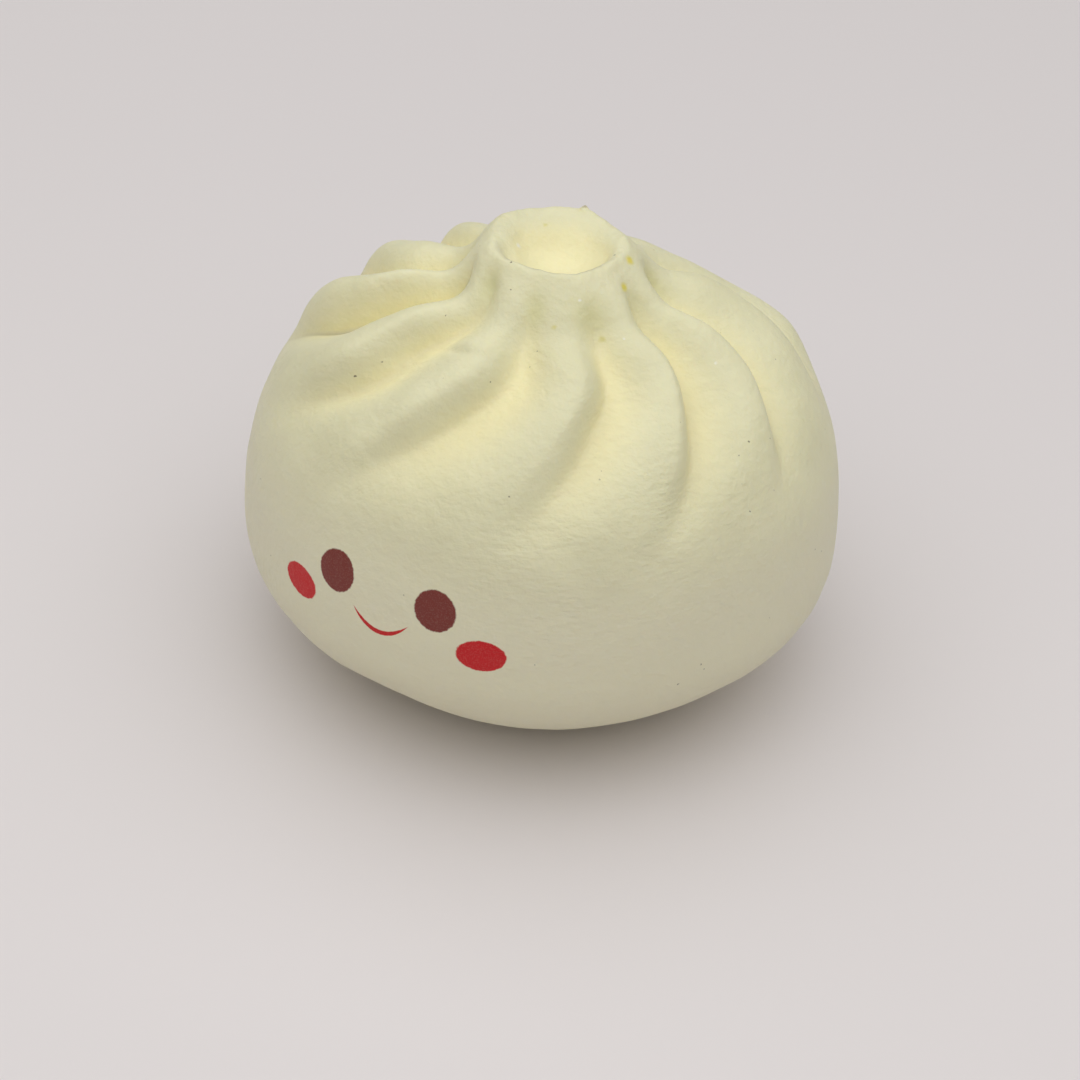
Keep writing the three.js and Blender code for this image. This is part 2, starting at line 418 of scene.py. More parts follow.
@dataclass(frozen=True)
class Rim:
    """How the collar's rim strays from a level circle. A dip has an azimuth, a spread and a depth."""

    shift: float = 0.8
    shift_azimuth: float = -120
    shift_start: float = 48.4
    shift_radii: tuple[float, float] = (4.0, 9.0)
    corners: int = 5
    corner_azimuth: float = -100
    corner_size: float = 0.25
    corner_radii: tuple[float, float] = (0, 7)
    dips: tuple[tuple[float, float, float], ...] = ((153, 24, 0.35), (20, 45, 0.25), (88, 26, 0.3))
    dip_radii: tuple[float, float] = (1, 6)
    bowl_shift: float = 0.8
    bowl_azimuth: float = 28
    bowl_radii: tuple[float, float] = (4.8, 7.3)
    bowl_facing: float = 0.2
    ragged: float = 0.16
    ragged_length: float = 1.6
    ragged_width: float = 0.9
    fine_share: float = 0.5
    times_finer: float = 2.3


@dataclass(frozen=True)
class Dent:
    """A soft local dent in the skin, or a bump if its depth is negative.

    The tint is how far the skin in it is tinted olive.
    """

    azimuth: float
    reach: float
    half_across: float
    half_along: float
    depth: float
    tint: float = 0


DENTS = (
    Dent(-112, -4.3, 6.0, 2.0, 0.45, 0.15),
    Dent(-20, -4.6, 1.3, 2.0, 0.7, 0.5),
    Dent(16, -3.8, 1.2, 2.0, 0.15, 0.5),
    Dent(48, -3.4, 2.1, 2.0, 0.1, 0.45),
    Dent(84, -3.2, 1.1, 1.8, 0.5, 0.2),
    Dent(116, -2.9, 1.4, 2.0, 0.9, 0.5),
    Dent(-8.5, 3.9, 3.0, 0.45, 0.5),
    Dent(-5.0, 2.6, 2.4, 0.7, -0.15),
    Dent(-30, -9.9, 3.0, 0.8, 0.35),
    Dent(20, -9.9, 3.0, 0.8, 0.4),
    Dent(62, -9.9, 2.6, 0.8, 0.3),
    Dent(-85, -9.6, 3.2, 1.2, -0.3),
    Dent(120, -9.4, 3.0, 1.2, -0.3),
    Dent(-172, -7.9, 0.4, 0.35, -0.5),
    Dent(-178, -7.9, 0.9, 0.4, -0.2),
    Dent(143, 19.5, 7.0, 4.5, -1.2),
    Dent(2, 49, 9.0, 6.0, 0.55),
    Dent(66, 48.5, 7.0, 5.0, 0.4),
    Dent(33, 30, 7.0, 5.0, 0.25),
    Dent(-2, 27, 6.0, 4.5, 0.3),
    Dent(62, 33, 6.0, 6.0, 0.2),
)


@dataclass(frozen=True)
class Unevenness:
    """The slow rise and fall of hand-cast foam."""

    size: float = 0.22
    length: float = 11
    fine_share: float = 0.4
    times_finer: float = 2.7
    wobble: float = 0.4
    wobble_length: float = 6
    foot_heights: tuple[float, float] = (0.5, 8)
    foot_radii: tuple[float, float] = (0, 6)

    def at(self, places: np.ndarray, length: float, seed: float) -> np.ndarray:
        """Gives smooth noise at each place, about -1 to 1.

        Args:
            places: The places, in millimetres.
            length: The noise's wavelength, in millimetres.
            seed: A shift that makes each noise its own.

        Returns:
            One value for each place.
        """
        scaled = places / length + seed
        return np.array([noise.noise(Vector(p)) for p in scaled.tolist()])


@dataclass(frozen=True)
class Tinting:
    """Where the skin takes its tints, and how strongly. The lip's front edge is darker in patches, with
    painted shade and dirt.
    """

    belly_heights: tuple[float, float] = (38, 22)
    bowl_radii: tuple[float, float] = (6.6, 4.8)
    bowl_share: float = 0.75
    dark_lip_azimuth: float = 25
    dark_lip_cosines: tuple[float, float] = (0.1, 0.7)
    dark_lip_reach: float = -8.6
    dark_lip_width: float = 0.4
    dark_lip_share: float = 0.8
    patch_middle: float = 0.6
    patch_length: float = 2.5

    def shares(self, skin: Skin, section: Section, unevenness: Unevenness) -> dict[str, np.ndarray]:
        """Gives the shares of the belly's, the valleys' and the dimples' colours, and of the painted
        shade and dirt.

        Args:
            skin: The finished skin.
            section: The plain body's section.
            unevenness: The noise that gives the worn patches.

        Returns:
            The shares at each point, by name.
        """
        in_bowl = (skin.out_across < 0) & (skin.height > section.neck_height)
        # The bowl takes the valleys' yellow too: partly the foam's tone, partly painted glow of light
        # bounced inside it
        bowl = in_bowl * smoothstep(skin.radius, *self.bowl_radii)
        # A thin darker line just inside the lip's front edge, in patches: painted shade where the
        # bowl's wall drops away, with some dirt
        along = (skin.reach - self.dark_lip_reach) / self.dark_lip_width
        patches = self.patch_middle + unevenness.at(skin.places, self.patch_length, seed=2.2)
        in_front = np.cos(np.radians(skin.azimuth - self.dark_lip_azimuth))
        patchy = np.clip(patches, 0, 1) * smoothstep(in_front, *self.dark_lip_cosines)
        dark_lip = self.dark_lip_share * np.exp(-(along**2)) * patchy
        return {
            "low": smoothstep(skin.height, *self.belly_heights),
            "hollow": np.maximum(skin.hollow, self.bowl_share * bowl),
            "olive": skin.olive,
            "grime_and_shade": np.maximum(dark_lip, skin.crease),
        }


@dataclass
class Bun:
    """The foam bun itself, from its section to its finished skin."""

    section: Section
    pleating: Pleating = Pleating()
    rim: Rim = Rim()
    dents: tuple[Dent, ...] = DENTS
    unevenness: Unevenness = Unevenness()
    tinting: Tinting = Tinting()
    columns_per_pleat: int = 38

    def draw_section(self) -> bpy.types.Object:
        """Draws the section as curves and turns it into a line of points that know their reach.

        Returns:
            The line as a mesh object.
        """
        bpy.ops.object.select_all(action="DESELECT")
        bpy.ops.curve.primitive_bezier_curve_add(location=(0, 0, 0))
        drawn = bpy.context.object
        drawn.data.dimensions = "3D"
        drawn.data.splines.clear()
        for stretch in self.section.stretches():
            spline = drawn.data.splines.new("BEZIER")
            spline.bezier_points.add(1)
            spline.resolution_u = stretch.rings
            places = [Vector((across * MM, 0, up * MM)) for across, up in stretch.points]
            first, last = spline.bezier_points
            for point in (first, last):
                point.handle_left_type = point.handle_right_type = "FREE"
            first.co, first.handle_left, first.handle_right = places[0], places[0], places[1]
            last.co, last.handle_left, last.handle_right = places[3], places[2], places[3]
        bpy.ops.object.convert(target="MESH")
        line = bpy.context.object
        bpy.ops.object.mode_set(mode="EDIT")
        bpy.ops.mesh.select_all(action="SELECT")
        bpy.ops.mesh.remove_doubles(threshold=WELD)
        bpy.ops.object.mode_set(mode="OBJECT")
        self.measure_section(line)
        return line

    def measure_section(self, line: bpy.types.Object) -> None:
        """Stores each section point's reach and outward direction as attributes of the mesh.

        Args:
            line: The section as a line of points, in order from the foot to the bowl.
        """
        points = np.array([v.co for v in line.data.vertices]) / MM
        steps = np.diff(points, axis=0)
        lengths = np.concatenate([[0], np.cumsum(np.linalg.norm(steps, axis=1))])
        neck = np.array([self.section.neck_radius, 0, self.section.neck_height])
        at_neck = np.argmin(np.linalg.norm(points - neck, axis=1))
        tangent = np.gradient(points, lengths, axis=0)
        tangent /= np.linalg.norm(tangent, axis=1, keepdims=True)
        values = {
            "reach": lengths[at_neck] - lengths,
            "out_across": tangent[:, 2],
            "out_up": -tangent[:, 0],
        }
        for name, value in values.items():
            attribute = line.data.attributes.new(name, "FLOAT", "POINT")
            attribute.data.foreach_set("value", value.astype(np.float32))

    def spin(self, line: bpy.types.Object) -> bpy.types.Object:
        """Spins the section round the upright axis into a closed skin.

        Args:
            line: The section.

        Returns:
            The same object, as the closed plain body.
        """
        bpy.ops.object.modifier_add(type="SCREW")
        turn = line.modifiers[-1]
        turn.axis = "Z"
        turn.angle = 2 * math.pi
        turn.steps = turn.render_steps = self.columns_per_pleat * len(self.pleating.pleats)
        turn.use_merge_vertices = True
        turn.merge_threshold = WELD
        bpy.ops.object.modifier_apply(modifier=turn.name)
        bpy.ops.object.mode_set(mode="EDIT")
        bpy.ops.mesh.select_all(action="SELECT")
        bpy.ops.mesh.remove_doubles(threshold=WELD)
        bpy.ops.mesh.normals_make_consistent(inside=False)
        bpy.ops.object.mode_set(mode="OBJECT")
        return line

    def read_skin(self, body: bpy.types.Object) -> Skin:
        """Reads the spun body's points with their place on the section and across their pleat.

        Args:
            body: The spun body.

        Returns:
            The skin to work on.
        """
        mesh = body.data
        count = len(mesh.vertices)
        places = np.zeros(count * 3, np.float32)
        mesh.vertices.foreach_get("co", places)
        places = places.reshape(-1, 3).astype(float) / MM
        stored = {}
        for name in ("reach", "out_across", "out_up"):
            values = np.zeros(count, np.float32)
            mesh.attributes[name].data.foreach_get("value", values)
            stored[name] = values.astype(float)
            mesh.attributes.remove(mesh.attributes[name])
        pleats = self.pleating.pleats
        columns = len(pleats) * self.columns_per_pleat
        turn = np.arctan2(places[:, 0], -places[:, 1]) / (2 * math.pi)
        column = np.mod(np.rint(turn * columns), columns)
        pleat = (column // self.columns_per_pleat).astype(int)
        across = column / self.columns_per_pleat - pleat
        edges = np.array([p.valley for p in pleats] + [pleats[0].valley + 360])
        return Skin(
            radius=np.hypot(places[:, 0], places[:, 1]),
            height=places[:, 2],
            azimuth=edges[pleat] + across * (edges[pleat + 1] - edges[pleat]),
            across=across,
            pleat=pleat,
            **stored,
        )

    def press_pleats(self, skin: Skin) -> None:
        """Presses the pleats into the plain skin; marks the valleys and the creases' painted shade and
        dirt.
        """
        law = self.pleating
        tight = law.by_valley(skin, "tight")
        up = law.height(skin, tight)
        pressed = law.valley_share(skin, tight)
        cut = law.by_valley(skin, "depth") * (1 - up) * pressed
        rise = law.of_pleat(skin, "swell") * up * law.swell_band.share(skin.reach)
        skin.azimuth = skin.azimuth + law.swirl(skin.reach) + law.stray(skin)
        # The valleys are yellow: partly the foam's own tone, partly painted glow of light bounced in
        # the folds.
        # A tight crease is yellow on the side of the pleat that hangs over it, a loose one before it
        held_back = np.where(skin.across < law.of_pleat(skin, "crest"), tight, 1 - tight)
        fading = law.hollow_fading + law.hollow_one_side * held_back
        skin.hollow = pressed * (1 - up) ** fading
        # A thin darker line along each tight crease's floor: painted shade where the fold hides the
        # light, with some dirt
        at_floor = np.exp(-((up / law.crease_rise) ** 2))
        skin.crease = law.crease_shade_and_dirt * pressed * tight**2 * at_floor
        outwards, _, normal = skin.directions()
        skin.places = outwards * skin.radius[:, None]
        skin.places[:, 2] = skin.height
        skin.places += normal * (rise - cut)[:, None]

    def press_dents(self, skin: Skin) -> None:
        """Presses the soft dents, and marks how olive each point is."""
        _, _, normal = skin.directions()
        skin.olive = np.zeros(len(skin.places))
        depth = np.zeros(len(skin.places))
        for dent in self.dents:
            across = np.radians(turned(skin.azimuth, dent.azimuth)) * skin.radius
            along = skin.reach - dent.reach
            share = np.exp(-((across / dent.half_across) ** 2) - (along / dent.half_along) ** 2)
            depth += dent.depth * share
            skin.olive = np.maximum(skin.olive, dent.tint * share)
        skin.places -= normal * depth[:, None]

    def shape_rim(self, skin: Skin) -> None:
        """Moves the collar aside and gives its rim soft corners, dips and a ragged edge."""
        rim = self.rim
        on_collar = smoothstep(skin.height, self.section.neck_height, self.section.total_height)
        from_corner = np.radians(turned(skin.azimuth, rim.corner_azimuth))
        off_middle = smoothstep(skin.radius, *rim.corner_radii)
        corner = rim.corner_size * np.cos(rim.corners * from_corner) * off_middle
        outwards, _, _ = skin.directions()
        shift = rim.shift * np.array(heading(rim.shift_azimuth))
        shifted = smoothstep(skin.height, rim.shift_start, self.section.total_height)
        shifted = shifted * smoothstep(skin.radius, *rim.shift_radii)
        skin.places += shifted[:, None] * shift + outwards * (on_collar * corner)[:, None]
        shift = rim.bowl_shift * np.array(heading(rim.bowl_azimuth))
        in_bowl = skin.out_across < rim.bowl_facing
        in_bowl = in_bowl * (1 - smoothstep(skin.radius, *rim.bowl_radii))
        skin.places += (in_bowl * on_collar)[:, None] * shift
        for azimuth, spread, depth in rim.dips:
            from_dip = turned(skin.azimuth, azimuth) / spread
            dipped = depth * np.exp(-(from_dip**2)) * smoothstep(skin.radius, *rim.dip_radii)
            skin.places[:, 2] -= dipped * on_collar
        off_lip = (skin.radius - self.section.lip_radius) / rim.ragged_width
        ragged = self.unevenness.at(skin.places, rim.ragged_length, seed=7.3)
        fine_length = rim.ragged_length / rim.times_finer
        ragged += rim.fine_share * self.unevenness.at(skin.places, fine_length, seed=3.1)
        skin.places[:, 2] += rim.ragged * ragged * np.exp(-(off_lip**2)) * on_collar

    def make_uneven(self, skin: Skin) -> None:
        """Gives the skin its slow unevenness and lets the pleats waver."""
        law = self.unevenness
        _, onwards, normal = skin.directions()
        off_foot = smoothstep(skin.height, *law.foot_heights)
        off_foot = off_foot * smoothstep(skin.radius, *law.foot_radii)
        rise = law.at(skin.places, law.length, seed=0)
        rise += law.fine_share * law.at(skin.places, law.length / law.times_finer, seed=5.5)
        aside = law.wobble * law.at(skin.places, law.wobble_length, seed=11.2)
        risen = normal * (law.size * rise)[:, None]
        skin.places += (risen + onwards * aside[:, None]) * off_foot[:, None]

    def make(self) -> tuple[bpy.types.Object, Skin]:
        """Models the bun.

        Returns:
            The finished mesh object and its skin.
        """
        body = self.spin(self.draw_section())
        body.name = body.data.name = "foam_bun"
        skin = self.read_skin(body)
        self.press_pleats(skin)
        self.press_dents(skin)
        self.shape_rim(skin)
        self.make_uneven(skin)
        mesh = body.data
        mesh.vertices.foreach_set("co", (skin.places * MM).astype(np.float32).ravel())
        for name, share in self.tinting.shares(skin, self.section, self.unevenness).items():
            attribute = mesh.attributes.new(name, "FLOAT", "POINT")
            attribute.data.foreach_set("value", share.astype(np.float32))
        mesh.update()
        bpy.ops.object.shade_smooth()
        return body, skin


class Ink(Enum):
    """The inks of the printed face."""

    BROWN = "#7E3026"
    RED = "#CC000C"


@dataclass(frozen=True)
class PrintedSpot:
    """A round or oval spot of ink, placed by azimuth and height."""

    azimuth: float
    height: float
    half_width: float
    half_height: float
    ink: Ink
    edge: float = 0.03

    def mask(self, tree: Tree, away: Socket, ragged: Socket) -> Socket:
        """Builds the spot's mask.

        Args:
            tree: The material's nodes.
            away: The way from the spot's middle on the unrolled skin, in millimetres.
            ragged: Noise that frays the edge.

        Returns:
            The output socket that is 1 on the ink.
        """
        size = (self.half_width, 1, self.half_height)
        shares = add_node(tree, "VectorMath", {0: away, 1: size}, operation="DIVIDE")
        length = add_node(tree, "VectorMath", {0: shares.outputs[0]}, operation="LENGTH")
        frayed = add_node(tree, "Math", {0: length.outputs["Value"], 1: ragged}, operation="ADD")
        edge = {"Value": frayed.outputs[0], "From Min": 1 + self.edge, "From Max": 1 - self.edge}
        return add_node(tree, "MapRange", edge).outputs[0]


@dataclass(frozen=True)
class PrintedSmile:
    """A thin curved line of ink that tapers to both ends."""

    azimuth: float
    height: float
    half_width: float
    sag: float
    half_line: float
    ink: Ink
    edge: float = 0.04

    def mask(self, tree: Tree, away: Socket, ragged: Socket) -> Socket:
        """Builds the smile's mask.

        Args:
            tree: The material's nodes.
            away: The way from the smile's middle on the unrolled skin, in millimetres.
            ragged: Noise that frays the edge.

        Returns:
            The output socket that is 1 on the ink.
        """
        axes = add_node(tree, "SeparateXYZ", {0: away})
        across = axes.outputs["X"]
        square = add_node(tree, "Math", {0: across, 1: across}, operation="MULTIPLY")
        bend = add_node(
            tree,
            "Math",
            {0: square.outputs[0], 1: -self.sag / self.half_width**2, 2: axes.outputs["Z"]},
            operation="MULTIPLY_ADD",
        )
        off = add_node(tree, "Math", {0: bend.outputs[0]}, operation="ABSOLUTE")
        fourth = add_node(tree, "Math", {0: square.outputs[0], 1: 2}, operation="POWER")
        taper = add_node(
            tree,
            "Math",
            {0: fourth.outputs[0], 1: -self.half_line / self.half_width**4, 2: self.half_line},
            operation="MULTIPLY_ADD",
        )
        inside = add_node(tree, "Math", {0: taper.outputs[0], 1: off.outputs[0]}, operation="SUBTRACT")
        frayed = add_node(tree, "Math", {0: inside.outputs[0], 1: ragged}, operation="ADD")
        edge = {"Value": frayed.outputs[0], "From Min": -self.edge, "From Max": self.edge}
        return add_node(tree, "MapRange", edge).outputs[0]


@dataclass(frozen=True)
class FacePrint:
    """The plain smiling face, pad-printed on the front: two dots, a smile and two oval cheeks."""

    print_radius: float = 34.5
    bleed_length: float = 0.3846
    fray: float = 0.06
    dot_spacing: float = 0.15385
    dot_band: tuple[float, float] = (0.3, 0.5)
    thinnest_ink: float = 0.95
    marks: tuple[PrintedSpot | PrintedSmile, ...] = (
        PrintedSpot(-10.5, 25.0, 2.4, 2.4, Ink.BROWN),
        PrintedSpot(10.5, 25.0, 2.4, 2.4, Ink.BROWN),
        PrintedSmile(0, 20.2, 3.4, 1.9, 0.28, Ink.RED),
        PrintedSpot(-19.5, 20.8, 2.7, 1.9, Ink.RED),
        PrintedSpot(19.5, 20.8, 2.7, 1.9, Ink.RED),
    )

    def layers(self, tree: Tree, place: Socket) -> list[Layer]:
        """Builds each mark's layer of ink.

        Args:
            tree: The material's nodes.
            place: The place in the object, in millimetres.

        Returns:
            Each mark's share and its ink's colour.
        """
        axes = add_node(tree, "SeparateXYZ", {0: place})
        to_front = add_node(tree, "Math", {0: axes.outputs["Y"], 1: -1}, operation="MULTIPLY")
        angle = add_node(
            tree, "Math", {0: axes.outputs["X"], 1: to_front.outputs[0]}, operation="ARCTAN2"
        )
        arc = add_node(tree, "Math", {0: angle.outputs[0], 1: self.print_radius}, operation="MULTIPLY")
        unrolled = add_node(tree, "CombineXYZ", {"X": arc.outputs[0], "Z": axes.outputs["Z"]})
        # Ink that bleeds along the pores frays each edge by about a tenth of a millimetre
        bleed = add_node(
            tree, "TexNoise", {"Vector": place, "Scale": 1 / self.bleed_length, "Detail": 2}
        )
        ragged = add_node(
            tree, "MapRange", {"Value": bleed.outputs["Fac"], "To Min": -self.fray, "To Max": self.fray}
        )
        # The dots of the print let a little bare foam through
        dots = add_node(
            tree, "TexNoise", {"Vector": place, "Scale": 1 / self.dot_spacing, "Detail": 1}
        )
        start, full = self.dot_band
        limits = {"From Min": start, "From Max": full, "To Min": self.thinnest_ink}
        cover = add_node(tree, "MapRange", {"Value": dots.outputs["Fac"]} | limits)
        layers = []
        for mark in self.marks:
            middle = (math.radians(mark.azimuth) * self.print_radius, 0, mark.height)
            away = add_node(
                tree, "VectorMath", {0: unrolled.outputs[0], 1: middle}, operation="SUBTRACT"
            )
            mask = mark.mask(tree, away.outputs[0], ragged.outputs[0])
            inked = add_node(tree, "Math", {0: mask, 1: cover.outputs[0]}, operation="MULTIPLY")
            layers.append((inked.outputs[0], mark.ink.value))
        return layers


class SpeckKind(Enum):
    """What a speck on the skin is, with its colour and how much it covers."""

    DUST = ("#463A2C", 0.85)
    RESIN = ("#E8DA55", 0.85)
    STAIN = ("#E0D78E", 0.8)
    BLEMISH = ("#F6F4E6", 0.8)
    SCAR = ("#A79C86", 0.8)

    @property
    def colour(self) -> str:
        """Gives the speck's colour."""
        return self.value[0]

    @property
    def cover(self) -> float:
        """Gives how much of the foam's colour the speck's middle covers."""
        return self.value[1]


@dataclass(frozen=True)
class Speck:
    """A speck cast into the skin, placed by azimuth and reach."""

    azimuth: float
    reach: float
    radius: float
    kind: SpeckKind = SpeckKind.DUST


SPECKS = (
    Speck(-32, 13, 0.12),
    Speck(-29, 9.5, 0.13),
    Speck(-27, 1, 0.09),
    Speck(-89, -0.5, 0.1),
    Speck(-12, -8, 0.13),
    Speck(-2, -5, 0.08),
    Speck(19, 2, 0.08),
    Speck(21, 18, 0.1),
    Speck(41, 15.5, 0.13),
    Speck(102, -9, 0.1),
    Speck(80, 16.5, 0.13),
    Speck(76, 17, 0.08),
    Speck(87, 17.5, 0.09),
    Speck(73, 23, 0.1),
    Speck(56, 41, 0.14),
    Speck(60, 39, 0.1),
    Speck(60.5, 40, 0.08),
    Speck(-172, -7.9, 0.35, SpeckKind.SCAR),
    Speck(102, -7, 0.55, SpeckKind.RESIN),
    Speck(81, -5.2, 0.5, SpeckKind.RESIN),
    Speck(53, -1, 0.4, SpeckKind.STAIN),
    Speck(28, -2, 0.3, SpeckKind.STAIN),
    Speck(-80, -11, 0.35, SpeckKind.BLEMISH),
    Speck(-135, -10, 0.3, SpeckKind.STAIN),
    Speck(43, -5, 0.2, SpeckKind.BLEMISH),
    Speck(62, 0, 0.14, SpeckKind.BLEMISH),
    Speck(89, 7.5, 0.15, SpeckKind.BLEMISH),
)


@dataclass(frozen=True)
class Relief:
    """The skin's fine relief: level wrinkles, soft lumps and the grain of the foam's cells.

    Sizes, widths and heights are in millimetres. A band is where the wrinkles start to show and
    where they are full, by height for the belly and the shoulder, by the cosine of the angle from
    their middle for the side, and by the noise of the patches that they come and go in.
    """

    wrinkle_size: tuple[float, float, float] = (1.3333, 1.3333, 0.43478)
    wrinkle_heights: tuple[float, float] = (0.05, 0.15)
    patch_width: float = 11.765
    patch_band: tuple[float, float] = (0.35, 0.62)
    wrinkle_azimuth: float = 46
    belly_band: tuple[float, float] = (14, 26)
    shoulder_band: tuple[float, float] = (50, 43)
    side_band: tuple[float, float] = (0.78, 0.95)
    share_outside: float = 0.12
    lump_width: float = 1.1765
    lump_height: float = 0.17
    grain_width: float = 0.35714
    grain_height: float = 0.035

    def wrinkled(self, tree: Tree, place: Socket) -> Socket:
        """Builds the wrinkles, which lie closer together than they are long.

        Args:
            tree: The material's nodes.
            place: The place in the object, in millimetres.

        Returns:
            The output socket of their height.
        """
        drawn_out = add_node(tree, "VectorMath", {0: place, 1: self.wrinkle_size}, operation="DIVIDE")
        wrinkles = add_node(tree, "TexNoise", {"Vector": drawn_out.outputs[0], "Scale": 1, "Detail": 2})
        patches = add_node(
            tree, "TexNoise", {"Vector": place, "Scale": 1 / self.patch_width, "Detail": 1}
        )
        start, full = self.patch_band
        low, high = self.wrinkle_heights
        limits = {"From Min": start, "From Max": full, "To Min": low, "To Max": high}
        patchy = add_node(tree, "MapRange", {"Value": patches.outputs["Fac"]} | limits)
        # They lie round the belly and the shoulder, mostly on the right of the front
        axes = add_node(tree, "SeparateXYZ", {0: place})
        level = add_node(tree, "VectorMath", {0: place, 1: (1, 1, 0)}, operation="MULTIPLY")
        outwards = add_node(tree, "VectorMath", {0: level.outputs[0]}, operation="NORMALIZE")
        middle = heading(self.wrinkle_azimuth)
        side = add_node(
            tree, "VectorMath", {0: outwards.outputs[0], 1: middle}, operation="DOT_PRODUCT"
        )
        shown = wrinkles.outputs["Fac"]
        for measure, (start, full) in (
            (axes.outputs["Z"], self.belly_band),
            (axes.outputs["Z"], self.shoulder_band),
            (side.outputs["Value"], self.side_band),
        ):
            band = add_node(
                tree,
                "MapRange",
                {"Value": measure, "From Min": start, "From Max": full, "To Min": self.share_outside},
                interpolation_type="SMOOTHSTEP",
            )
            shown = add_node(
                tree, "Math", {0: shown, 1: band.outputs[0]}, operation="MULTIPLY"
            ).outputs[0]
        shown = add_node(tree, "Math", {0: shown, 1: patchy.outputs[0]}, operation="MULTIPLY")
        return shown.outputs[0]

    def normal(self, tree: Tree, place: Socket) -> Socket:
        """Builds the whole relief.

        Args:
            tree: The material's nodes.
            place: The place in the object, in millimetres.

        Returns:
            The output socket of the bumped normal.
        """
        height = self.wrinkled(tree, place)
        for width, rise, detail in (
            (self.lump_width, self.lump_height, 3),
            (self.grain_width, self.grain_height, 2),
        ):
            rough = add_node(tree, "TexNoise", {"Vector": place, "Scale": 1 / width, "Detail": detail})
            height = add_node(
                tree, "Math", {0: rough.outputs["Fac"], 1: rise, 2: height}, operation="MULTIPLY_ADD"
            ).outputs[0]
        return add_node(tree, "Bump", {"Height": height, "Distance": MM}).outputs[0]


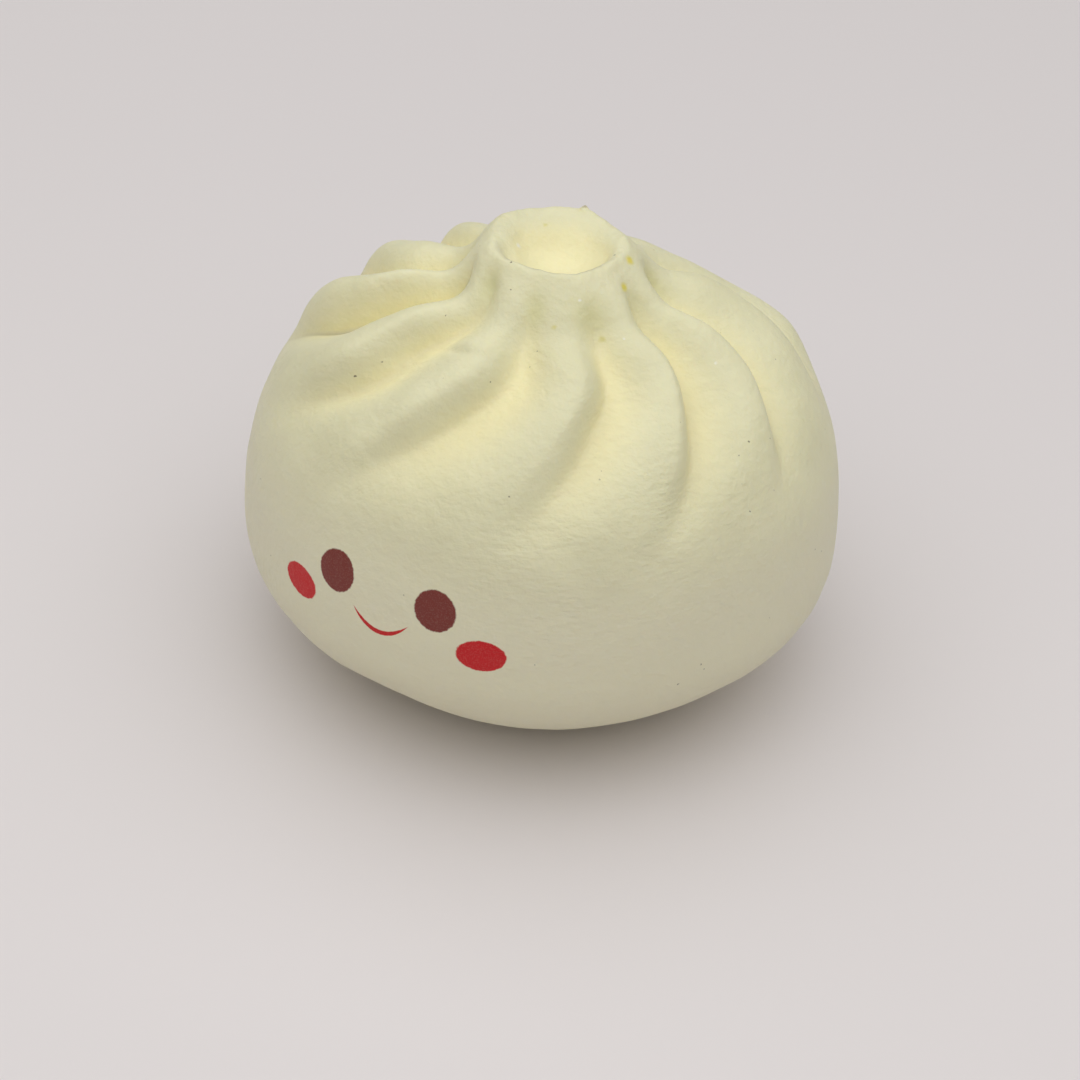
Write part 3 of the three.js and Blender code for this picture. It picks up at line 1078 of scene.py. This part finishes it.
@dataclass(frozen=True)
class MouldedFoam:
    """Slow-rising polyurethane foam with its moulded skin: matt, faintly silky, a little translucent.

    The skin is a pale cream. It is yellower where the pleats fold inwards, partly its own tone and
    partly painted glow of light bounced in the folds, olive in the dimples at the collar's foot, and
    greyer along the tight creases and the collar's lip with painted shade and some dirt. Widths,
    lengths, spacings and radii are in millimetres.
    """

    ridge: str = "#EBE7C0"
    ridge_shade: str = "#E4E0B9"
    belly: str = "#EAE5C7"
    # Partly the foam's yellower tone, partly painted glow of light bounced in the folds
    valley: str = "#F5ECBA"
    olive: str = "#DEDA9A"
    # Painted shade in the tight creases and along the lip, with some dirt
    grime_and_shade: str = "#A89F82"
    roughness: float = 0.55
    translucency: float = 0.3
    light_spread: tuple[float, float, float] = (1, 0.85, 0.55)
    light_depth: float = 2
    cloud_width: float = 7.143
    crumple: float = 0.2
    crumple_length: float = 0.45455
    speck_edge: tuple[float, float] = (1.3, 0.4)
    faint_speck_spacing: float = 3.33333
    faint_speck_radii: tuple[float, float] = (0.11667, 0.05)
    faint_speck_cover: float = 0.6
    specks: tuple[Speck, ...] = SPECKS
    face: FacePrint = FacePrint()
    relief: Relief = Relief()

    def tints(self, tree: Tree, place: Socket) -> list[Layer]:
        """Builds the foam's own tints.

        Args:
            tree: The material's nodes.
            place: The place in the object, in millimetres.

        Returns:
            Each tint's share and its colour.
        """
        # Cast foam never has quite one tone, so a second one lies over it in clouds
        clouds = add_node(
            tree, "TexNoise", {"Vector": place, "Scale": 1 / self.cloud_width, "Detail": 4}
        )
        strong = add_node(
            tree, "MapRange", {"Value": clouds.outputs["Fac"], "From Min": 0.35, "From Max": 0.65}
        )
        layers = [(strong.outputs[0], self.ridge_shade)]
        # The valleys' yellow is partly the foam's tone and partly painted glow of bounced light; the
        # grey of the creases and the lip is painted shade with some dirt
        for name, code in (
            ("low", self.belly),
            ("hollow", self.valley),
            ("olive", self.olive),
            ("grime_and_shade", self.grime_and_shade),
        ):
            share = add_node(tree, "Attribute", attribute_name=name)
            layers.append((share.outputs["Fac"], code))
        return layers

    def specked(self, tree: Tree, place: Socket, skin: Skin) -> list[Layer]:
        """Builds the single specks and a few faint ones all over.

        Args:
            tree: The material's nodes.
            place: The place in the object, in millimetres.
            skin: The bun's finished skin, which tells where each speck lies.

        Returns:
            Each speck's share and its colour.
        """
        # No speck is quite round: its place is crumpled by up to a fifth of a millimetre
        aside = add_node(
            tree, "TexNoise", {"Vector": place, "Scale": 1 / self.crumple_length, "Detail": 2}
        )
        crumpled = add_node(
            tree,
            "VectorMath",
            {0: aside.outputs["Color"], 1: (2 * self.crumple,) * 3, 2: place},
            operation="MULTIPLY_ADD",
        )
        crumpled = add_node(
            tree, "VectorMath", {0: crumpled.outputs[0], 1: (self.crumple,) * 3}, operation="SUBTRACT"
        ).outputs[0]
        layers = []
        for speck in self.specks:
            middle = skin.place_at(speck.azimuth, speck.reach)
            away = add_node(tree, "VectorMath", {0: crumpled, 1: middle}, operation="DISTANCE")
            outer, inner = (speck.radius * times for times in self.speck_edge)
            limits = {"From Min": outer, "From Max": inner, "To Max": speck.kind.cover}
            mask = add_node(tree, "MapRange", {"Value": away.outputs["Value"]} | limits)
            layers.append((mask.outputs[0], speck.kind.colour))
        spacing = self.faint_speck_spacing
        cells = add_node(tree, "TexVoronoi", {"Vector": place, "Scale": 1 / spacing}, feature="F1")
        outer, inner = (radius / spacing for radius in self.faint_speck_radii)
        limits = {"From Min": outer, "From Max": inner, "To Max": self.faint_speck_cover}
        faint = add_node(tree, "MapRange", {"Value": cells.outputs["Distance"]} | limits)
        layers.append((faint.outputs[0], SpeckKind.DUST.colour))
        return layers

    def material(self, skin: Skin) -> bpy.types.Material:
        """Builds the foam's material.

        Args:
            skin: The bun's finished skin, which tells where each speck lies.

        Returns:
            The material.
        """
        made = bpy.data.materials.new("moulded_polyurethane_foam")
        made.use_nodes = True
        tree = made.node_tree
        shader = tree.nodes["Principled BSDF"]
        coordinates = add_node(tree, "TexCoord")
        place = add_node(
            tree, "VectorMath", {0: coordinates.outputs["Object"], "Scale": 1 / MM}, operation="SCALE"
        ).outputs[0]
        colour = from_hex(self.ridge)
        layers = self.tints(tree, place) + self.specked(tree, place, skin)
        for share, code in layers + self.face.layers(tree, place):
            colour = add_node(
                tree, "Mix", {"Factor": share, 6: colour, 7: from_hex(code)}, data_type="RGBA"
            ).outputs[2]
        tree.links.new(colour, shader.inputs["Base Color"])
        tree.links.new(self.relief.normal(tree, place), shader.inputs["Normal"])
        shader.inputs["Roughness"].default_value = self.roughness
        shader.inputs["Subsurface Weight"].default_value = self.translucency
        shader.inputs["Subsurface Radius"].default_value = self.light_spread
        shader.inputs["Subsurface Scale"].default_value = self.light_depth * MM
        return made


@dataclass(frozen=True)
class Studio:
    """The floor, the lights and the camera.

    The camera's distances and its aim above the object's origin are in millimetres. The floor and
    the lamp are in metres.
    """

    azimuth: float = 28
    elevation: float = 36
    roll: float = 4.3
    distance: float = 277.25
    aim_across: float = 0.19
    aim_up: float = 11.55
    lens: float = 76.67
    sensor_width: float = 36
    clip_start: float = 10
    floor_colour: str = "#E2DCDB"
    floor_roughness: float = 0.45
    floor_size: float = 6
    key_place: tuple[float, float, float] = (0.03, -0.1, 1.2)
    key_size: float = 3
    key_watts: float = 34
    room_light: float = 0.12

    def add_floor(self) -> None:
        """Lays the plain pale floor."""
        bpy.ops.object.select_all(action="DESELECT")
        bpy.ops.mesh.primitive_plane_add(size=self.floor_size, location=(0, 0, 0))
        floor = bpy.context.object
        floor.name = "studio_floor"
        made = bpy.data.materials.new("satin_painted_board")
        made.use_nodes = True
        shader = made.node_tree.nodes["Principled BSDF"]
        shader.inputs["Base Color"].default_value = from_hex(self.floor_colour)
        shader.inputs["Roughness"].default_value = self.floor_roughness
        floor.data.materials.append(made)

    def add_lights(self) -> None:
        """Hangs one big soft light overhead and fills the room with even light."""
        bpy.ops.object.select_all(action="DESELECT")
        bpy.ops.object.light_add(type="AREA", location=self.key_place)
        key = bpy.context.object
        key.name = "overhead_softbox"
        key.data.shape = "SQUARE"
        key.data.size = self.key_size
        key.data.energy = self.key_watts
        key.rotation_euler = (-key.location).to_track_quat("-Z", "Y").to_euler()
        world = bpy.data.worlds.new("even_room_light")
        world.use_nodes = True
        world.node_tree.nodes["Background"].inputs["Color"].default_value = (1, 1, 1, 1)
        world.node_tree.nodes["Background"].inputs["Strength"].default_value = self.room_light
        bpy.context.scene.world = world

    def add_camera(self) -> None:
        """Sets the camera at the photograph's view of the object."""
        azimuth, elevation, roll = (math.radians(a) for a in (self.azimuth, self.elevation, self.roll))
        across = Vector((math.cos(azimuth), math.sin(azimuth), 0))
        level_back = Vector(heading(self.azimuth))
        back = level_back * math.cos(elevation) + Vector((0, 0, math.sin(elevation)))
        up = back.cross(across)
        rolled_across = across * math.cos(roll) + up * math.sin(roll)
        rolled_up = up * math.cos(roll) - across * math.sin(roll)
        place = (across * self.aim_across + Vector((0, 0, self.aim_up)) + back * self.distance) * MM
        bpy.ops.object.camera_add(location=place)
        camera = bpy.context.object
        camera.name = "studio_camera"
        camera.data.sensor_width = self.sensor_width
        camera.data.lens = self.lens
        camera.data.clip_start = self.clip_start * MM
        turned_to = Matrix((rolled_across, rolled_up, back)).transposed()
        camera.rotation_euler = turned_to.to_euler()
        bpy.context.scene.camera = camera

    def build(self) -> None:
        """Builds the studio."""
        self.add_floor()
        self.add_lights()
        self.add_camera()
        bpy.context.scene.view_settings.view_transform = "Standard"


def main() -> None:
    """Builds the bun and the studio."""
    logging.basicConfig(level=logging.INFO, format="%(message)s")
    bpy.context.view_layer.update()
    low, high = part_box(NODE)
    section = Section(belly_radius=(high.x - low.x) / 2 / MM, total_height=(high.z - low.z) / MM)
    bun, skin = Bun(section).make()
    bun.data.materials.append(MouldedFoam().material(skin))
    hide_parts(NODE)
    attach(bun, "root")
    log.info("%s: %d points", bun.name, len(bun.data.vertices))
    Studio().build()


if __name__ == "__main__":
    main()
